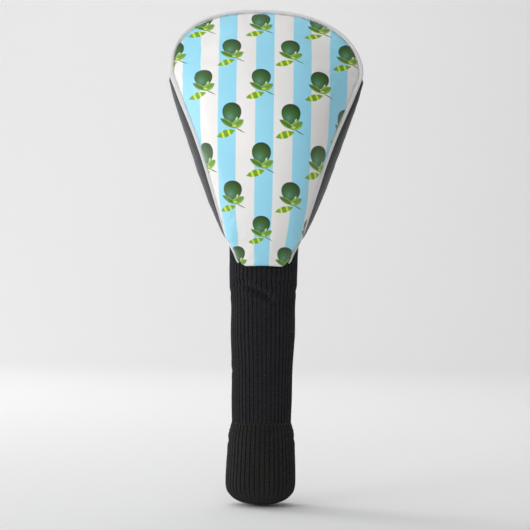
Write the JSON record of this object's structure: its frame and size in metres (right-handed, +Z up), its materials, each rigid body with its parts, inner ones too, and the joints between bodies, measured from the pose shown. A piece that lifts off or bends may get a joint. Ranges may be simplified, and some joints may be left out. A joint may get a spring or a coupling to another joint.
{
  "type": "driver head cover",
  "caption": "Padded spoon-shaped shell with a piped printed front and stretch side gussets, on a long rib-knit sock with a gathered cuff.",
  "frame": {"origin": "centre of the shaft opening in the gathered cuff, at the cuff's lowest point", "axes": "+Z up along the club's shaft towards the head, -Y out of the printed front, +X to the right as seen from the front"},
  "size_m": [0.1362, 0.1188, 0.3536],
  "materials": {
    "printed_fabric": "woven polyester, dyed stripes and motifs",
    "foam": "open-cell polyurethane foam",
    "lining": "brushed fleece",
    "gusset_fabric": "stretch spacer mesh",
    "piping": "bias-cut woven tape",
    "filler_cord": "twisted cotton",
    "knit": "rib knit",
    "binding": "woven tape",
    "elastic": "covered elastic cord",
    "thread": "spun polyester thread"
  },
  "bodies": {
    "shell": {"front_panel": "printed_fabric", "front_foam": "foam", "front_lining": "lining", "back_panel": "printed_fabric", "back_foam": "foam", "back_lining": "lining", "left_gusset": "gusset_fabric", "right_gusset": "gusset_fabric", "left_gusset_lining": "lining", "right_gusset_lining": "lining", "front_piping": "piping", "front_piping_cord": "filler_cord", "sock_neck": "knit", "neck_binding": "binding"},
    "sock": {"sock_tube": "knit", "sock_cuff": "knit", "cuff_elastic": "elastic", "cuff_stitch": "thread"}
  },
  "joints": [
    {"name": "sock_bend", "type": "hinge", "parent": "shell", "child": "sock", "pos_m": [0, 0, 0.175], "axis": [0, 1, 0], "range_deg": [-50, 50], "deforming": ["sock_neck"]}
  ]
}
